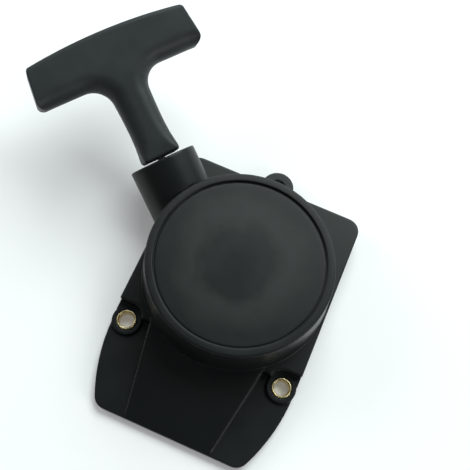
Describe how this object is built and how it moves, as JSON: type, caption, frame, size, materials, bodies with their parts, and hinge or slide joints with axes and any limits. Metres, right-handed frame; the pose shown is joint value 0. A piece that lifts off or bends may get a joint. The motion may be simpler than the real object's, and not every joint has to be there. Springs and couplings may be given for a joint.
{
  "type": "recoil starter",
  "caption": "Recoil starter of a small two-stroke engine: black case with a round drum, rising rope collar, sloped fairing, brass-sleeved mounting holes, and a T-grip on a rewinding rope.",
  "frame": {"origin": "on the reel axis, in the plane of the mounting face", "axes": "+X to the right of the plate, +Y towards the ear on its top edge, +Z out of the drum's closed face"},
  "size_m": [0.1319, 0.1392, 0.0426],
  "materials": {
    "case_plastic": "black glass-filled nylon, satin with a fine moulded grain",
    "grip_plastic": "black polypropylene, satin",
    "brass": "turned brass, slightly dulled",
    "plated_steel": "zinc-plated pressed steel",
    "spring_steel": "blued spring steel, oiled",
    "dark_steel": "black-oxide steel",
    "pawl_steel": "sintered steel, tumbled",
    "reel_nylon": "dark grey nylon",
    "guide_plastic": "black acetal",
    "rope": "off-white braided nylon cord"
  },
  "bodies": {
    "case": {"starter_case": "case_plastic", "left_mount_sleeve": "brass", "right_mount_sleeve": "brass", "rope_guide_bush": "plated_steel", "spring_cassette": "plated_steel", "spring_shield": "plated_steel", "rewind_spring": "spring_steel", "post_insert": "brass", "centre_washer": "plated_steel", "centre_screw": "dark_steel", "rope_run": "rope"},
    "reel": {"rope_reel": "reel_nylon", "rope_winding": "rope", "reel_knot": "rope", "pawl_pin_a": "plated_steel", "pawl_pin_b": "plated_steel"},
    "guide": {"ratchet_guide": "guide_plastic", "friction_spring": "spring_steel"},
    "pawl_one": {"pawl_a": "pawl_steel"},
    "pawl_two": {"pawl_b": "pawl_steel"},
    "rope_end": {"rope_lead": "rope", "knot_washer": "plated_steel", "handle_knot": "rope"},
    "grip": {"pull_handle": "grip_plastic", "handle_plug": "grip_plastic"}
  },
  "joints": [
    {"name": "rope_pull", "type": "slide", "parent": "case", "child": "rope_end", "axis": [-0.733, 0.5645, 0.3795], "range_m": [0, 0.65]},
    {"name": "reel_spin", "type": "hinge", "parent": "case", "child": "reel", "pos_m": [0, 0, 0.0124], "axis": [0, 0, -1], "range_deg": [0, 1655.7], "stiffness_Nm_per_rad": 0.0047, "springref_deg": -1661.58},
    {"name": "guide_turn", "type": "hinge", "parent": "reel", "child": "guide", "pos_m": [0, 0, 0.004], "axis": [0, 0, 1], "range_deg": [0, 30]},
    {"name": "pawl_a_swing", "type": "hinge", "parent": "reel", "child": "pawl_one", "pos_m": [0.0132, 0, 0.0064], "axis": [0, 0, 1], "range_deg": [0, 28.1]},
    {"name": "pawl_b_swing", "type": "hinge", "parent": "reel", "child": "pawl_two", "pos_m": [-0.0132, 0, 0.0064], "axis": [0, 0, 1], "range_deg": [0, 28.1]},
    {"name": "grip_twist", "type": "hinge", "parent": "rope_end", "child": "grip", "pos_m": [-0.05632, 0.03719, 0.02606], "axis": [-0.733, 0.5645, 0.3795], "range_deg": [-180, 180]}
  ],
  "couplings": [
    {"joint": "reel_spin", "follows": "rope_pull", "rad_per_m": 44.444},
    {"joint": "pawl_a_swing", "follows": "guide_turn", "ratio": 0.9333},
    {"joint": "pawl_b_swing", "follows": "guide_turn", "ratio": 0.9333}
  ]
}
